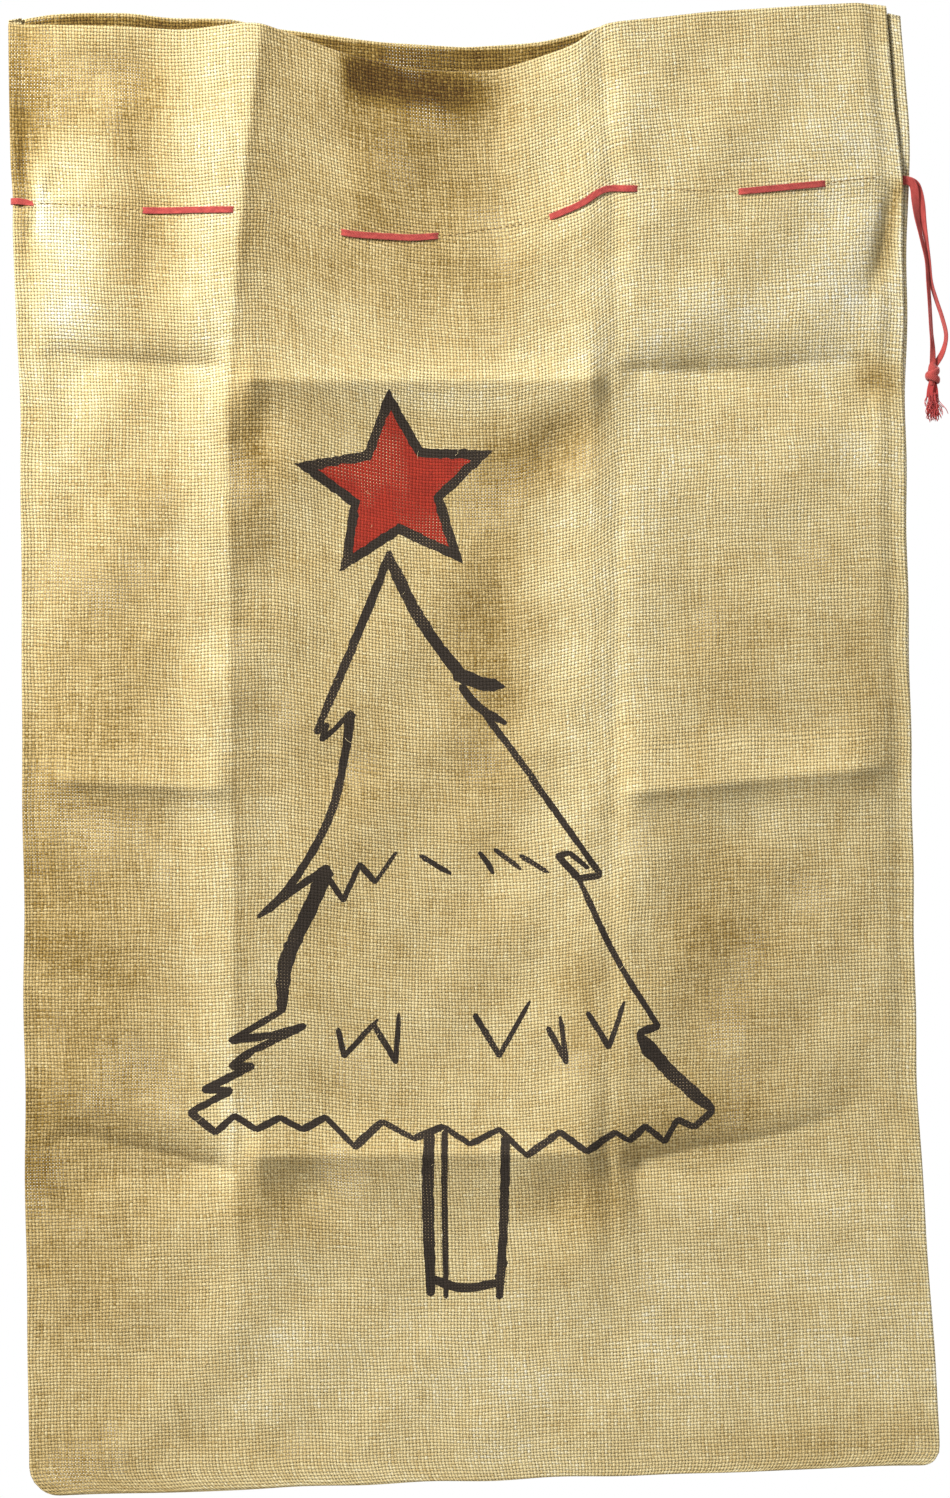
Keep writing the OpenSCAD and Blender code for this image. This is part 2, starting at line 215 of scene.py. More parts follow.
SOFT_RIM = {FRONT: softened(FRONT_RIM, 0.009), BACK: softened(BACK_RIM, 0.009)}
SOFT_WANDER = softened(TAPE_WANDER, 0.006)
SOFT_SHAPE = {FRONT: softened(FRONT_SHAPE, 0.0018), BACK: softened(BACK_SHAPE, 0.004)}
SOFT_FADE = softened(FADE, 0.02)
SOFT_LEFT = softened(LEFT_EDGE, 0.006)
SOFT_RIGHT = softened(RIGHT_EDGE, 0.012)


def smoothstep(x, low, high):
    t = np.clip((x - low) / (high - low), 0, 1)
    return t * t * (3 - 2 * t)


def ripple(s, t, seed, wavelengths, height):
    """Gentle random waves in the cloth."""
    rng = np.random.default_rng(seed)
    total = np.zeros(np.broadcast(s, t).shape)
    for wavelength in wavelengths:
        for _ in range(4):
            turn, phase = rng.uniform(0, 2 * math.pi, 2)
            total += np.sin(2 * math.pi * (s * math.cos(turn) + t * math.sin(turn)) / wavelength + phase)
    return height * total / math.sqrt(4 * len(wavelengths))


def blobs(table, u, drop):
    """Sum of soft round patches, each [share of the width, drop, reach across, reach down, amount]."""
    return sum(a * np.exp(-((u - cu) / ru) ** 2 - ((drop - cd) / rd) ** 2) for cu, cd, ru, rd, a in table)


def fan(s, drop, centre, spokes, turn, height, reach):
    """Small folds that fan out from a point where the tape pinches the cloth."""
    ds, dt = s - centre[0], drop - centre[1]
    r = np.hypot(ds, dt)
    fold = np.cos(spokes * np.arctan2(dt, ds) + turn)
    return height * fold * smoothstep(r, 0, 0.012) * np.exp(-r / reach)


# ---- The cloth surface ----

def corner_cut(h, r):
    """How far a rounded corner of radius r cuts in, at height h over the bottom seam."""
    inside = np.clip(r - h, 0, r)
    return r - np.sqrt(r * r - inside * inside)


def left_x(drop):
    """X of the left edge."""
    wave = ripple(0 * drop, drop, 11, [0.09, 0.16], 0.0005)
    return -SACK_W / 2 + MM * lookup(SOFT_LEFT, drop / MM) + wave + corner_cut(SACK_H - drop, CORNER_LEFT)


def right_x(drop, side):
    """X of a panel's right edge."""
    wave = ripple(0 * drop, drop, 12, [0.09, 0.16], 0.0005)
    inset = MM * lookup(FRONT_INSET, drop / MM) if side == FRONT else 0
    return (SACK_W / 2 + MM * lookup(SOFT_RIGHT, drop / MM) + wave - inset
            - corner_cut(SACK_H - drop, CORNER_RIGHT))


def height_at(side, u, drop):
    """Z of a panel's points: the rim's sag eases off below the hem, into the tilt of the bottom edge."""
    t = np.clip((drop - HEM) / (SACK_H - HEM), 0, 1)
    wave = t ** 4 * ripple(u * SACK_W, 0 * drop, 13, [0.07, 0.13], 0.0006)
    return (1 - t) * MM * lookup(SOFT_RIM[side], u) - drop + t * BOTTOM_TILT * u + wave


def tape_line(u):
    """Drop of the threaded line across the sack."""
    return TAPE_DROP + MM * lookup(SOFT_WANDER, u)


def to_creases(u, drop):
    """The share of the width that u has in the tables of shapes, where the creases run straight down."""
    left, right = lookup(LEFT_CREASE, drop / MM), lookup(RIGHT_CREASE, drop / MM)
    left_to, right_to = CREASES
    middle = left_to + (u - left) * (right_to - left_to) / (right - left)
    outside = np.where(u < left, u * left_to / left, 1 - (1 - u) * (1 - right_to) / (1 - right))
    return np.where((u < left) | (u > right), outside, middle)


def folds(u, depth):
    """Relief of the storage folds, at a depth below the origin."""
    total = 0
    for first, last, depth_first, depth_last, height, above, below in STORAGE_FOLDS:
        away = depth / MM - np.interp(u, [first, last], [depth_first, depth_last])
        reach = np.where(away > 0, below, above)
        window = smoothstep(u, first, first + FOLD_START) * (1 - smoothstep(u, last - FOLD_START, last))
        total = total + MM * height * window * np.exp((FOLD_ROUND - np.hypot(FOLD_ROUND, away)) / reach)
    return total


def exit_groove(s, drop):
    """How deep the groove from the tape's exit is, from 0 to 1: it widens and fades on its way down."""
    away = s - SACK_W * lookup(EXIT_GROOVE, drop / MM)
    width = 0.003 + 0.06 * np.clip(drop - TAPE_DROP, 0, 0.1)
    along = smoothstep(drop, 0.112, 0.118) * (1 - smoothstep(drop, 0.15, 0.215))
    return along * np.exp(-(away / width) ** 2)


def exit_gap(side, u, drop):
    """How far each panel is pushed out by the tape's two ends in the gap of the right-hand seam."""
    below = height_at(side, u, drop) - BEND[2]
    return 0.0018 * smoothstep(u, 0.90, 0.94) * np.exp(-(below / 0.010) ** 2)


def stand_off(side, u, drop):
    """How far the cloth's outer face is from the plane of the seams."""
    s = u * SACK_W
    share = to_creases(u, drop)
    base = SEAM_T + MM * lookup(SOFT_SHAPE[side], share) * lookup(SOFT_FADE, drop / MM)
    from_seam = np.minimum(np.minimum(s, SACK_W - s), SACK_H - drop)
    loose = smoothstep(from_seam, 0.006, 0.04)
    relief = ripple(s, drop, 21 + side, [0.06, 0.11, 0.2], 0.0011)
    relief = relief + folds(u, -height_at(side, u, drop)) * (1 if side == FRONT else BACK_FOLDS)
    near_edge = smoothstep(from_seam, 0.002, 0.008)
    pinch = fan(s, drop, (0.018, TAPE_DROP + 0.003), 5, 0.4, 0.0030, 0.022)
    if side == FRONT:
        relief = relief + blobs(HOLLOWS, u, drop)
        pinch = pinch + fan(s, drop, (SACK_W - 0.006, TAPE_DROP + 0.002), 5, 2.2, 0.0010, 0.020)
        pinch = pinch - 0.0060 * exit_groove(s, drop)
    return np.maximum(base + loose * relief + near_edge * pinch, CLEARANCE) + exit_gap(side, u, drop)


def roll_over(e, radius):
    """For cloth at distance e along its pattern from an edge that it is rolled over: how far it is from
    that edge, and how far it has sunk behind the outer face. Cloth turned in has e below 0."""
    quarter = math.pi * radius / 2
    angle = np.clip(e / radius, -math.pi / 2, math.pi / 2)
    away = radius * (1 - np.cos(angle)) + np.clip(np.abs(e) - quarter, 0, None)
    return away, radius * (1 - np.sin(angle))


def place(side, s, t):
    """Where points of a panel's flat pattern come to lie, as an array of [x, y, z]."""
    from_left, sunk_left = roll_over(s, ROLL)
    from_right, sunk_right = roll_over(SACK_W - s, ROLL)
    from_bottom, sunk_bottom = roll_over(SACK_H - t, ROLL)
    from_rim, sunk_rim = roll_over(t, RIM_ROLL)
    drop = np.where(t < SACK_H / 2, from_rim, SACK_H - from_bottom)
    u = from_left / (from_left + from_right)
    sunk = np.minimum(sunk_left + sunk_right + sunk_bottom, 2 * ROLL) + sunk_rim
    left, right = left_x(drop), right_x(drop, side)
    y = side * (stand_off(side, u, drop) - sunk)
    return np.stack([left + u * (right - left), y, height_at(side, u, drop)], axis=-1)


def pattern_point(x, z):
    """The point of the front panel's flat pattern that lies at (x, z)."""
    drop = -z
    for _ in range(12):
        left, right = left_x(drop), right_x(drop, FRONT)
        u = (x - left) / (right - left)
        drop = drop + height_at(FRONT, u, drop) - z
    return u * SACK_W, drop


def middle_shadow(u, drop):
    """How much darker the middle third of the front looks, most of all in the dip of its rim."""
    share = to_creases(u, drop)
    third = smoothstep(share, 0.249, 0.254) * (1 - smoothstep(share, 0.5, 0.64))
    dip = smoothstep(u, 0.368, 0.395) * (1 - smoothstep(u, 0.48, 0.60))
    below_rim = np.exp(-((drop - 0.014) / 0.014) ** 2)
    return (third * (0.08 * (1 - smoothstep(drop, 0.75, 0.9)) + 0.06 * (1 - smoothstep(drop, 0.14, 0.20)))
            + dip * (0.12 * (1 - smoothstep(drop, 0.05, 0.17)) + 0.36 * below_rim))


def tone_and_painted_light(side, u, drop, turned_in):
    """How light the cloth looks, from 0 to 1: its uneven tone, with painted light and shade laid over it.
    """
    value = 0.56 + ripple(u * SACK_W, drop, 31 + side, [0.05, 0.12], 0.03)
    # Painted light and shade on the front: the soft patches, the middle third's shadow, a darker right
    # third, a darker groove below the tape's exit and a lighter rolled right edge.
    if side == FRONT:
        right_third_shade = smoothstep(to_creases(u, drop), 0.66, 0.68) * (1 - smoothstep(drop, 0.75, 0.85))
        value = value + blobs(LEFT_TONE_AND_PAINTED_LIGHT + MIDDLE_TONE_AND_PAINTED_LIGHT + RIGHT_TONE_AND_PAINTED_LIGHT, u, drop) - middle_shadow(u, drop)
        value = value - 0.04 * right_third_shade - 0.30 * exit_groove(u * SACK_W, drop)
        value = value + 0.08 * smoothstep(u, 0.991, 0.998)
    else:
        # Painted light on the back's rolled right edge, where the front shades it.
        value = value + 0.08 * smoothstep(u, 0.970, 0.985)
    # Painted shade inside the mouth, on the turned-in hem.
    shade = 0.42 * smoothstep(turned_in, 0.0, 0.004)
    return np.clip(value - shade, 0.02, 1)


# ---- Meshes ----

def declare(piece, body, slot, *nodes):
    """Say which body a piece moves with and which CAD nodes it is seen instead of; slot, what it is made
    of, is not used.
    """
    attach(piece, body)
    if nodes:
        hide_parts(*nodes)


def add_mesh(name, points, faces, materials, uv=None, tone=None, face_slots=None):
    mesh = bpy.data.meshes.new(name)
    mesh.from_pydata(np.asarray(points).tolist(), [], faces)
    for material in materials:
        mesh.materials.append(material)
    mesh.polygons.foreach_set("use_smooth", np.ones(len(mesh.polygons), bool))
    if face_slots is not None:
        mesh.polygons.foreach_set("material_index", face_slots)
    if uv is not None:
        corner = np.zeros(len(mesh.loops), int)
        mesh.loops.foreach_get("vertex_index", corner)
        layer = mesh.uv_layers.new(name="flat")
        layer.data.foreach_set("uv", np.asarray(uv)[corner].ravel())
    if tone is not None:
        mesh.attributes.new("tone", "FLOAT", "POINT").data.foreach_set("value", np.asarray(tone, float))
    mesh.update()
    piece = bpy.data.objects.new(name, mesh)
    bpy.context.scene.collection.objects.link(piece)
    return piece


def smooth_path(points, per_span=6):
    """Catmull-Rom curve through the points."""
    p = np.asarray(points, float)
    p = np.vstack([2 * p[0] - p[1], p, 2 * p[-1] - p[-2]])
    t = np.linspace(0, 1, per_span, endpoint=False)[:, None]
    spans = [0.5 * (2 * b + (c - a) * t + (2 * a - 5 * b + 4 * c - d) * t ** 2
                    + (3 * b - a - 3 * c + d) * t ** 3)
             for a, b, c, d in zip(p[:-3], p[1:-2], p[2:-1], p[3:])]
    return np.vstack(spans + [p[-2:-1]])


def unit(v):
    return v / np.linalg.norm(v, axis=-1, keepdims=True)


def sweep(path, section, wide, scale=1.0):
    """Points, faces and flat coordinates of a section swept along a path. The section holds
    [along wide, across it]; wide is one direction or one for each point of the path."""
    path = np.asarray(path, float)
    section = np.asarray(section, float)
    tangent = unit(np.gradient(path, axis=0))
    across = unit(np.cross(tangent, np.broadcast_to(wide, path.shape)))
    along = np.cross(across, tangent)
    size = np.broadcast_to(np.asarray(scale, float), (len(path),))[:, None, None]
    rings = path[:, None] + size * (section[None, :, :1] * along[:, None]
                                    + section[None, :, 1:] * across[:, None])
    n, k = len(path), len(section)
    faces = [(i * k + j, i * k + (j + 1) % k, (i + 1) * k + (j + 1) % k, (i + 1) * k + j)
             for i in range(n - 1) for j in range(k)]
    faces += [tuple(range(k))[::-1], tuple((n - 1) * k + j for j in range(k))]
    length = np.concatenate([[0], np.cumsum(np.linalg.norm(np.diff(path, axis=0), axis=1))])
    flat = np.stack([np.repeat(length, k), np.tile(section[:, 0], n)], axis=-1)
    return rings.reshape(-1, 3), faces, flat


def add_swept(name, parts, material):
    """One piece made of several swept parts."""
    points, faces, flat, start = [], [], [], 0
    for part_points, part_faces, part_flat in parts:
        points.append(part_points)
        flat.append(part_flat)
        faces += [tuple(start + i for i in face) for face in part_faces]
        start += len(part_points)
    return add_mesh(name, np.vstack(points), faces, [material], np.vstack(flat))


def round_section(radius, sides=6):
    angle = np.arange(sides) * 2 * math.pi / sides
    return np.column_stack([radius * np.cos(angle), -radius * np.sin(angle)])


def tape_section(width, thickness):
    """Flat tape with rounded edges and a slightly proud selvedge at each of them."""
    half = [[0.0, 0.42], [0.5, 0.43], [0.8, 0.5], [0.93, 0.46], [1.0, 0.2]]
    right = half + [[x, -y] for x, y in half[::-1]]
    left = [[-x, y] for x, y in right[::-1] if x > 0]
    return np.array([[x * width / 2, -y * thickness] for x, y in right + left])


# ---- Materials ----

class Shader:
    """A material being made out of nodes."""

    def __init__(self, name, roughness=0.85, sheen=0.0):
        self.material = bpy.data.materials.new(name)
        self.material.use_nodes = True
        self.tree = self.material.node_tree
        self.surface = self.tree.nodes["Principled BSDF"]
        self.surface.inputs["Roughness"].default_value = roughness
        self.surface.inputs["Specular IOR Level"].default_value = 0.15
        self.surface.inputs["Sheen Weight"].default_value = sheen
        self.surface.inputs["Sheen Roughness"].default_value = 0.6

    def node(self, kind, settings=(), **inputs):
        made = self.tree.nodes.new(kind)
        for key, value in dict(settings).items():
            setattr(made, key, value)
        for key, value in inputs.items():
            self.put(value, made.inputs[key.replace("_", " ")])
        return made

    def put(self, value, socket):
        if isinstance(value, bpy.types.NodeSocket):
            self.tree.links.new(value, socket)
        else:
            socket.default_value = value

    def math(self, operation, a, b=0.0, c=0.0, clamp=False):
        made = self.tree.nodes.new("ShaderNodeMath")
        made.operation = operation
        made.use_clamp = clamp
        for value, socket in zip((a, b, c), made.inputs):
            self.put(value, socket)
        return made.outputs[0]

    def flat(self):
        """Where a point is on the flat cloth or tape: two values."""
        position = self.node("ShaderNodeUVMap", {"uv_map": "flat"}).outputs[0]
        parts = self.node("ShaderNodeSeparateXYZ", Vector=position)
        return parts.outputs[0], parts.outputs[1]

    def noise(self, x, y, z, detail=1.0):
        """Noise, where x and y are each a value and what it is multiplied by."""
        x, y = self.math("MULTIPLY", *x), self.math("MULTIPLY", *y)
        vector = self.node("ShaderNodeCombineXYZ", X=x, Y=y, Z=z).outputs[0]
        made = self.node("ShaderNodeTexNoise", Vector=vector, Scale=1.0, Detail=detail)
        return made.outputs[0]

    def mix(self, share, a, b):
        made = self.node("ShaderNodeMix", {"data_type": "RGBA"})
        self.put(share, made.inputs["Factor"])
        for value, socket in ((a, made.inputs[6]), (b, made.inputs[7])):
            self.put(value, socket)
        return made.outputs[2]

    def scaled(self, colour, factor):
        """Colour times a number."""
        made = self.node("ShaderNodeVectorMath", {"operation": "SCALE"})
        self.put(colour if isinstance(colour, bpy.types.NodeSocket) else colour[:3], made.inputs[0])
        self.put(factor, made.inputs["Scale"])
        return made.outputs[0]

    def ramp(self, value, stops):
        made = self.node("ShaderNodeValToRGB", Fac=value)
        elements = made.color_ramp.elements
        while len(elements) < len(stops):
            elements.new(0.5)
        for element, (position, colour) in zip(elements, stops):
            element.position = position
            element.color = colour
        return made.outputs[0]

    def finish(self, colour, height=None, distance=0.0004, strength=0.6):
        self.put(colour, self.surface.inputs["Base Color"])
        if height is not None:
            bump = self.node("ShaderNodeBump", Height=height, Distance=distance, Strength=strength)
            self.tree.links.new(bump.outputs[0], self.surface.inputs["Normal"])
        return self.material


def linear(red, green, blue):
    """A screen colour, each part from 0 to 255, as light."""
    parts = [c / 255 for c in (red, green, blue)]
    return tuple(c / 12.92 if c <= 0.04045 else ((c + 0.055) / 1.055) ** 2.4 for c in parts) + (1.0,)


def weave(shader):
    """The plain weave on a cloth's flat coordinates: (s, t, height, yarn shade, hole)."""
    s, t = shader.flat()
    m = shader.math
    drift_s = shader.noise((s, 35.0), (t, 22.0), 1.0)
    drift_t = shader.noise((s, 22.0), (t, 35.0), 7.0)
    p = m("MULTIPLY_ADD", s, 1 / YARN, m("MULTIPLY", drift_s, 1.6))
    q = m("MULTIPLY_ADD", t, 1 / YARN, m("MULTIPLY", drift_t, 1.6))
    column, row = m("FLOOR", p), m("FLOOR", q)
    across = m("SUBTRACT", m("SUBTRACT", p, column), 0.5)
    down = m("SUBTRACT", m("SUBTRACT", q, row), 0.5)
    sign = m("SUBTRACT", m("MULTIPLY", m("PINGPONG", m("ADD", column, row), 1.0), 2.0), 1.0)

    def yarn(index, along, offset, other, seed, turn):
        """(profile, level, shade) of one direction's yarns."""
        slub = shader.noise((index, 13.7), (along, 55.0), seed, 2.0)
        half = m("MULTIPLY_ADD", slub, 0.30, 0.24)
        reach = m("POWER", m("DIVIDE", m("ABSOLUTE", offset), half), 2.0)
        profile = m("SQRT", m("SUBTRACT", 1.0, reach, clamp=True))
        lift = m("MULTIPLY", m("COSINE", m("MULTIPLY", other, math.pi)), turn)
        level = m("MULTIPLY", profile, m("MULTIPLY_ADD", lift, 0.42, 0.58))
        shade = shader.noise((index, 7.31), (along, 45.0), seed + 3.0, 2.0)
        return profile, level, shade

    warp_profile, warp_level, warp_shade = yarn(column, t, across, down, 3.0, sign)
    weft_profile, weft_level, weft_shade = yarn(row, s, down, across, 11.0, m("MULTIPLY", sign, -1.0))
    height = m("MAXIMUM", warp_level, weft_level)
    weft_on_top = m("GREATER_THAN", weft_level, warp_level)
    shade = m("ADD", m("MULTIPLY", weft_shade, weft_on_top),
              m("MULTIPLY", warp_shade, m("SUBTRACT", 1.0, weft_on_top)))
    cover = m("MAXIMUM", warp_profile, weft_profile)
    hole = m("SUBTRACT", 1.0, m("MULTIPLY", cover, 4.0, clamp=True))
    return s, t, height, shade, hole


# Colours of the yarn from dark to light, as (tone, colour); the dark end gives the painted shade and the
# pale end the painted highlights that the tone carries
JUTE_SHADES = [(0.0, linear(74, 50, 10)), (0.2, linear(128, 102, 46)), (0.4, linear(178, 155, 104)),
               (0.6, linear(203, 186, 139)), (0.8, linear(217, 212, 190)), (1.0, linear(232, 230, 218))]


def jute_material():
    shader = Shader("jute", roughness=0.9, sheen=0.05)
    s, t, height, shade, hole = weave(shader)
    # The tone holds the cloth's uneven tone with painted light and shade on it.
    tone = shader.node("ShaderNodeAttribute", {"attribute_name": "tone"}).outputs["Fac"]
    m = shader.math
    fibres = shader.noise((s, 700.0), (t, 700.0), 5.0, 1.0)
    varied = m("ADD", m("MULTIPLY_ADD", shade, 0.50, -0.25), m("MULTIPLY_ADD", fibres, 0.40, -0.20))
    varied = m("ADD", tone, varied, clamp=True)
    cloth = shader.ramp(varied, JUTE_SHADES)
    # Painted shade between the yarns: each yarn darker down its sides, and its holes darker still.
    cloth = shader.scaled(cloth, m("MULTIPLY_ADD", height, 0.85, 0.38))
    painted_hole_shade = shader.scaled(cloth, 0.40)
    # Painted light: in patches a pale colour shows in the holes, as if lit from behind, most of all where
    # the tone is about 0.25.
    patch = shader.noise((s, 16.0), (t, 12.0), 21.0, 2.0)
    from_thin = m("ABSOLUTE", m("SUBTRACT", tone, 0.25))
    lit = m("MULTIPLY", m("SUBTRACT", patch, m("MULTIPLY_ADD", from_thin, 0.80, 0.46)), 9.0, clamp=True)
    painted_light_through_holes = shader.mix(lit, painted_hole_shade, linear(236, 228, 208))
    return shader.finish(shader.mix(hole, cloth, painted_light_through_holes), height, 0.0007, 0.9)


def ink_material(name, colour, light):
    """Screen-printing ink on the same weave; light is the colour that shows through some of its holes."""
    shader = Shader(name, roughness=0.75, sheen=0.05)
    s, t, height, shade, hole = weave(shader)
    m = shader.math
    inked = shader.scaled(colour, m("MULTIPLY_ADD", shade, 0.9, 0.55))
    # Painted shade between the yarns: the ink darker down each yarn's sides.
    inked = shader.scaled(inked, m("MULTIPLY_ADD", height, 0.4, 0.7))
    patch = shader.noise((s, 28.0), (t, 24.0), 21.0, 2.0)
    lit = m("MULTIPLY", m("SUBTRACT", patch, 0.46), 7.0, clamp=True)
    seen = shader.mix(m("MULTIPLY", lit, hole), inked, light)
    return shader.finish(seen, height, 0.0006, 0.8)


def thread_material():
    shader = Shader("sewing_thread", roughness=0.8, sheen=0.1)
    along, across = shader.flat()
    m = shader.math
    turn = m("ADD", m("MULTIPLY", along, 2500.0), m("MULTIPLY", across, 2500.0))
    ply = m("MULTIPLY_ADD", m("SINE", turn), 0.5, 0.5)
    # Painted shade along the twist: each ply lighter on its crest and darker in its groove, besides the
    # bump.
    colour = shader.mix(ply, linear(120, 96, 56), linear(176, 150, 98))
    return shader.finish(colour, ply, 0.0001, 0.5)


def tape_material(name, dark, light):
    """Woven cotton tape: fine ribs that slant back from its middle line to both edges."""
    shader = Shader(name, roughness=0.8, sheen=0.25)
    along, across = shader.flat()
    m = shader.math
    slant = m("ADD", m("MULTIPLY", along, 2 * math.pi / 0.0010),
              m("MULTIPLY", m("ABSOLUTE", across), 3200.0))
    rib = m("MULTIPLY_ADD", m("SINE", slant), 0.5, 0.5)
    worn = shader.noise((along, 220.0), (across, 500.0), 4.0, 3.0)
    # Painted shade on the ribs: lighter crests and darker furrows, besides the bump; the worn noise mottles
    # the tape at random.
    share = m("ADD", m("MULTIPLY", rib, 0.45), m("MULTIPLY_ADD", worn, 1.3, -0.4), clamp=True)
    return shader.finish(shader.mix(share, dark, light), rib, 0.0002, 0.6)


def plain_material(name, colour, variation=0.3):
    """One colour with fine specks."""
    shader = Shader(name, roughness=0.8, sheen=0.2)
    position = shader.node("ShaderNodeTexCoord").outputs["Object"]
    speck = shader.node("ShaderNodeTexNoise", Vector=position, Scale=900.0, Detail=2.0).outputs[0]
    brightness = shader.math("MULTIPLY_ADD", speck, variation * 2, 1 - variation)
    return shader.finish(shader.scaled(colour, brightness))


JUTE = jute_material()
BLACK_INK = ink_material("black_ink", linear(44, 36, 28), linear(150, 130, 98))
RED_INK = ink_material("red_ink", linear(142, 39, 22), linear(214, 190, 150))
THREAD = thread_material()
TAPE = tape_material("cotton_tape", linear(122, 26, 26), linear(184, 74, 64))
FRAY = plain_material("frayed_cotton", linear(166, 50, 48))
FIBRE = plain_material("jute_fibre", linear(226, 206, 156))


# ---- Camera, light and floor ----

def add_camera():
    """Straight on, from far enough that the sack fills a frame 0.989 m high."""
    data = bpy.data.cameras.new("camera")
    data.sensor_fit = "VERTICAL"
    data.sensor_width = 36
    data.sensor_height = 36
    distance = 4.2
    frame_height = 0.9887
    data.lens = data.sensor_height * distance / frame_height
    camera = bpy.data.objects.new("camera", data)
    camera.location = (0, -distance, -0.4924)
    camera.rotation_euler = (math.pi / 2, 0, 0)
    bpy.context.scene.collection.objects.link(camera)
    bpy.context.scene.camera = camera


def add_light(name, position, size, power):
    """A square light that points at the middle of the sack."""
    data = bpy.data.lights.new(name, "AREA")
    data.size = size
    data.energy = power
    light = bpy.data.objects.new(name, data)
    light.location = position
    aim = Vector((0, 0, -0.45)) - Vector(position)
    light.rotation_euler = aim.to_track_quat("-Z", "Y").to_euler()
    bpy.context.scene.collection.objects.link(light)


def add_world():
    """White behind the sack, and a dimmer light on it that comes mostly from above."""
    world = bpy.data.worlds.new("studio")
    bpy.context.scene.world = world
    world.use_nodes = True
    tree = world.node_tree
    background = tree.nodes["Background"]
    background.inputs["Color"].default_value = (1, 1, 1, 1)
    direction = tree.nodes.new("ShaderNodeSeparateXYZ")
    tree.links.new(tree.nodes.new("ShaderNodeTexCoord").outputs["Generated"], direction.inputs[0])
    soft = tree.nodes.new("ShaderNodeMath")
    soft.operation = "MULTIPLY_ADD"
    soft.inputs[1].default_value = 0.16
    soft.inputs[2].default_value = 0.24
    tree.links.new(direction.outputs["Z"], soft.inputs[0])
    strength = tree.nodes.new("ShaderNodeMath")
    strength.operation = "MAXIMUM"
    ray = tree.nodes.new("ShaderNodeLightPath")
    tree.links.new(ray.outputs["Is Camera Ray"], strength.inputs[0])
    tree.links.new(soft.outputs[0], strength.inputs[1])
    tree.links.new(strength.outputs[0], background.inputs["Strength"])


def add_floor():
    """A plain round floor some way below the sack."""
    sides = 64
    angle = np.arange(sides) * 2 * math.pi / sides
    height = cad_low.z - 0.3
    rim = np.column_stack([1.2 * np.cos(angle), 1.2 * np.sin(angle), np.full(sides, height)])
    paint = plain_material("floor_paint", linear(196, 196, 193), 0.02)
    add_mesh("floor", rim, [tuple(range(sides))], [paint])


# ---- Drawstring ----

def add_strand(name, route, y, side_turn):
    """One of the two tape strands that hang from the seam gap to the knot."""
    path = smooth_path([[x * MM, y, z * MM] for x, z in route], 7)
    fall = np.linspace(0, 1, len(path))
    turn = np.radians(side_turn * smoothstep(fall, 0.25, 0.5) * (1 - smoothstep(fall, 0.85, 1.0)))
    wide = np.column_stack([np.cos(turn), np.sin(turn), 0 * turn])
    over = 1 - smoothstep(fall, 0.04, 0.16)
    wide = wide * (1 - over[:, None]) + np.array([0.0, 0.0, 1.0]) * over[:, None]
    bunched = 1 - 0.28 * smoothstep(fall, 0.33, 0.48)
    tape = sweep(path, tape_section(TAPE_W * 0.92, TAPE_T), wide, bunched)
    return add_swept(name, [tape], TAPE), path


def add_knot():
    """An overhand knot pulled tight: two tilted wraps of the bunched tape around the strands."""
    centre = np.array([0.302, 0.0, -0.2450])
    parts = []
    for tilt, lean, rise, wide_r, deep_r in ((30, 12, 0.6, 3.4, 2.9), (-20, -12, -2.5, 3.6, 3.0)):
        angle = np.linspace(0, 2 * math.pi, 37)
        ring = np.column_stack([wide_r * np.cos(angle), deep_r * np.sin(angle),
                                rise + math.tan(math.radians(tilt)) * wide_r * np.cos(angle)
                                + math.tan(math.radians(lean)) * deep_r * np.sin(angle)])
        band = round_section(1.0, 10) * [2.6 * MM, 1.5 * MM]
        parts.append(sweep(centre + MM * ring, band, (0, 0, 1)))
    core_r = 2.4 * MM
    core = [[0, 8.0], [0, 5.8], [0.4, 2.5], [-0.3, -2.5], [-0.6, -7.4]]
    core_path = smooth_path([[centre[0] + x * MM, 0, centre[2] + z * MM] for x, z in core], 6)
    swell = 0.75 + 0.75 * np.sin(np.linspace(0, math.pi, len(core_path))) ** 2
    # Its top is a ball about the knot's hinge, so that the strands stay as deep in it when it swings
    from_hinge = core_path[:, 2] - KNOT_HINGE_Z
    swell = np.maximum(swell, np.sqrt(np.clip(core_r ** 2 - from_hinge ** 2, 0, None)) / core_r)
    parts.append(sweep(core_path, round_section(core_r, 10), (0, 1, 0), swell))
    return add_swept("drawstring_overhand_knot", parts, TAPE)


